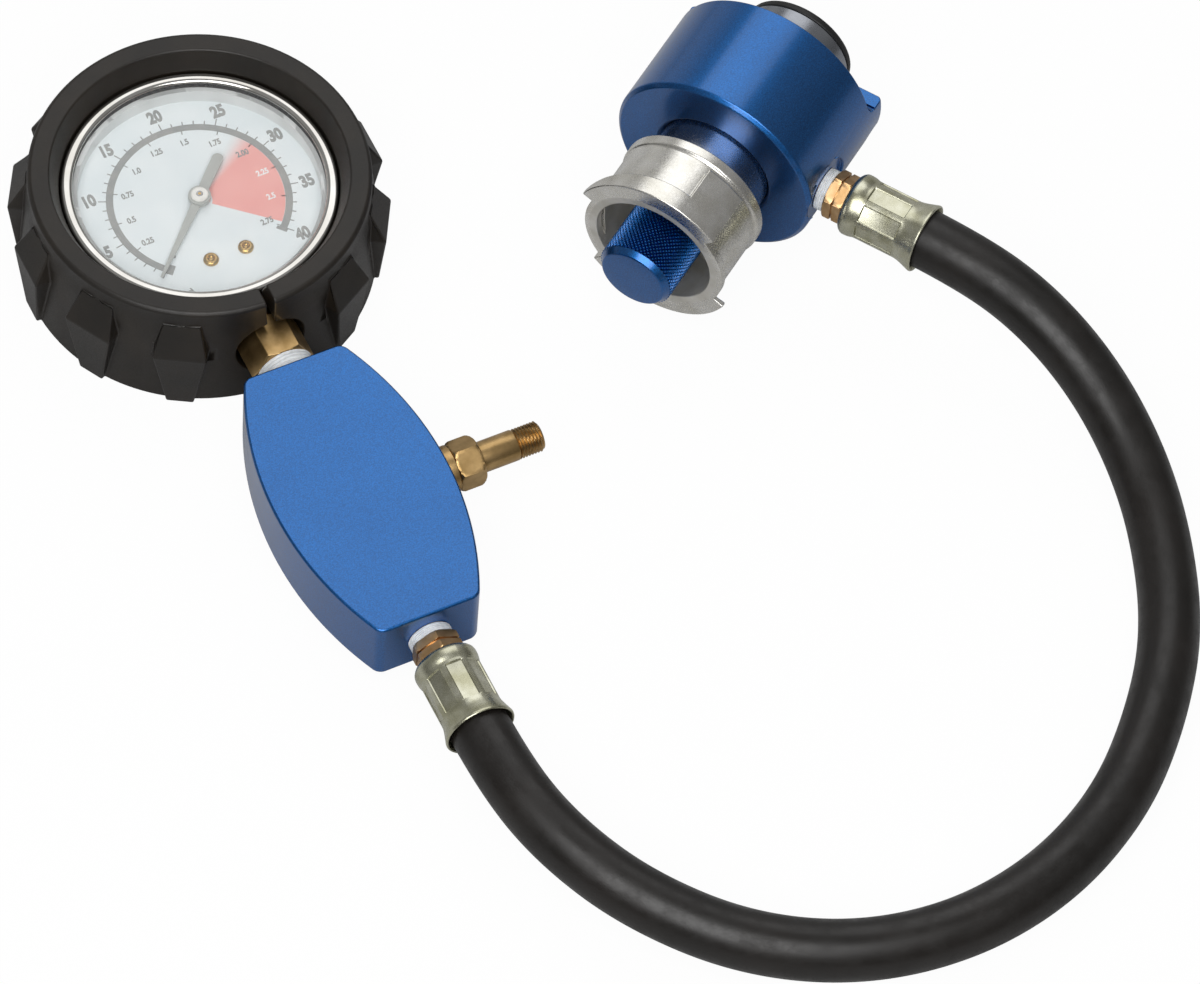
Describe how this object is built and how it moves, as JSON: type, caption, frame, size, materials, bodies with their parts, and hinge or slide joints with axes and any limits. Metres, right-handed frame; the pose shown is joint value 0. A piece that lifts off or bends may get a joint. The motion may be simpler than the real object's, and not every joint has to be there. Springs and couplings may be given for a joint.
{
  "type": "radiator pressure tester",
  "caption": "Cooling-system pressure tester: dial gauge in a rubber boot on a barrel-shaped manifold with an air valve, a hose and a claw-ended swivelling test head with a knurled plug.",
  "frame": {"origin": "centre of the rubber boot's flat back, on the surface the tester lies on", "axes": "+Z out of the dial; the gauge stem points along -Y to the manifold; the air valve points along +X"},
  "size_m": [0.2352, 0.3099, 0.0548],
  "materials": {
    "boot_rubber": "satin moulded rubber",
    "drawn_steel": "satin plated",
    "bezel_chrome": "polished",
    "window": "polished clear",
    "gasket_rubber": "matt",
    "white_ring": "satin",
    "dial_face": "matt printed",
    "brass": "bright",
    "pointer_grey": "satin",
    "cap_white": "satin",
    "steel": "bright",
    "bronze": "bright",
    "blue_anodised": "anodised aluminium, satin",
    "plated_steel": "plated, crimped",
    "white_tape": "thin film wound on thread",
    "hose_rubber": "matt",
    "turned_alloy": "polished",
    "cast_alloy": "cast, satin"
  },
  "bodies": {
    "tester": {"rubber_boot": "boot_rubber", "gauge_case": "drawn_steel", "case_screws": "drawn_steel", "gauge_bezel": "bezel_chrome", "gauge_window": "window", "window_gasket": "gasket_rubber", "hose_end_manifold": "gasket_rubber", "hose_end_head": "gasket_rubber", "dial_ring": "white_ring", "dial": "dial_face", "dial_screws": "brass", "gauge_socket": "brass", "valve_body": "brass", "fitting_manifold": "brass", "fitting_head": "brass", "movement_base_plate": "brass", "movement_top_plate": "brass", "movement_pillars": "brass", "tube_tip": "brass", "valve_core": "brass", "movement_screws": "steel", "valve_spring": "steel", "bourdon_tube": "bronze", "hairspring": "bronze", "manifold_block": "blue_anodised", "head_body": "blue_anodised", "ferrule_manifold": "plated_steel", "ferrule_head": "plated_steel", "stem_tape": "white_tape", "tape_manifold": "white_tape", "tape_head": "white_tape", "hose": "hose_rubber"},
    "sector": {"sector_gear": "brass", "sector_arbor": "steel"},
    "link": {"movement_link": "steel"},
    "pointer_arbor": {"pointer": "pointer_grey", "pointer_cap": "cap_white", "pinion_shaft": "brass"},
    "core": {"core_tube": "turned_alloy", "filler_neck": "cast_alloy", "core_orings": "gasket_rubber", "retaining_ring": "steel", "nose_seal": "gasket_rubber"},
    "plug_seal": {"plug_washer": "steel", "plug_oring": "gasket_rubber"},
    "plug": {"plug_knob": "blue_anodised"},
    "check_pin": {"valve_pin": "steel"}
  },
  "joints": [
    {"name": "sector_swing", "type": "hinge", "parent": "tester", "child": "sector", "pos_m": [0.0099, -0.0099, 0.017], "axis": [0, 0, 1], "range_deg": [0, 45]},
    {"name": "pointer_turn", "type": "hinge", "parent": "tester", "child": "pointer_arbor", "pos_m": [0, 0, 0.017], "axis": [0, 0, 1], "range_deg": [-270.5, 0.5]},
    {"name": "link_swing", "type": "hinge", "parent": "sector", "child": "link", "pos_m": [0.01498, -0.012, 0.0182], "axis": [0, 0, 1], "range_deg": [-45.5, 0.5]},
    {"name": "core_swivel", "type": "hinge", "parent": "tester", "child": "core", "pos_m": [0.13099, -0.03625, 0.0274], "axis": [0.8261, 0.5635, 0], "continuous": true},
    {"name": "seal_lift", "type": "slide", "parent": "core", "child": "plug_seal", "axis": [-0.8261, -0.5635, 0], "range_m": [0, 0.006]},
    {"name": "plug_turn", "type": "hinge", "parent": "plug_seal", "child": "plug", "pos_m": [0.09547, -0.06048, 0.0274], "axis": [-0.8261, -0.5635, 0], "range_deg": [0, 1440.5]},
    {"name": "pin_press", "type": "slide", "parent": "tester", "child": "check_pin", "axis": [-1, 0, 0], "range_m": [0, 0.0015], "stiffness_N_per_m": 600, "springref_m": -0.001, "deforming": ["valve_spring"]}
  ],
  "couplings": [
    {"joint": "pointer_turn", "follows": "sector_swing", "ratio": -6},
    {"joint": "link_swing", "follows": "sector_swing", "ratio": -1},
    {"joint": "plug_turn", "follows": "seal_lift", "rad_per_m": 4188.8}
  ]
}
